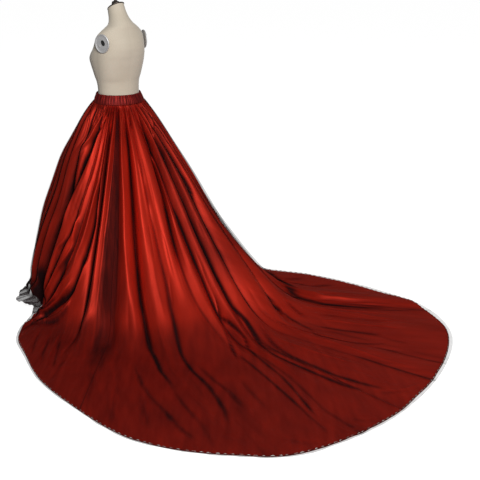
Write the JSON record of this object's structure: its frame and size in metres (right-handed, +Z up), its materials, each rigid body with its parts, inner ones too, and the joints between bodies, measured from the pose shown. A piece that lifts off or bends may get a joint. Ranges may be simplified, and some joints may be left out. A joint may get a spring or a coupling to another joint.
{
  "type": "gathered train skirt on dress form",
  "caption": "Floor-length gathered satin skirt with elastic waist, long train and sheer tulle overlay, worn by a limbless dress form on a stand.",
  "frame": {"origin": "middle of the stand base's underside, on the floor, below the waist's centre", "axes": "+Z up, +Y from the waist towards the end of the train (the wearer's back), +X to the wearer's left"},
  "size_m": [1.9705, 2.5262, 1.6048],
  "materials": {
    "satin": "red polyester satin, soft directional sheen",
    "tulle": "sheer black net",
    "band": "shirred satin casing over elastic, under black net",
    "cover": "matt cream jersey cover",
    "cap": "dark bronze paint",
    "plate": "plain brushed plate",
    "stand": "brushed"
  },
  "bodies": {
    "root": {"waistband": "band", "satin_front": "satin", "satin_side_left": "satin", "satin_side_right": "satin", "satin_train_left": "satin", "satin_train_right": "satin", "tulle_front": "tulle", "tulle_left": "tulle", "tulle_right": "tulle", "form_torso": "cover", "form_neck_cap": "cap", "form_finial": "cap", "form_arm_plate_left": "plate", "form_arm_plate_right": "plate", "form_pole": "stand", "form_base": "stand"}
  },
  "joints": []
}
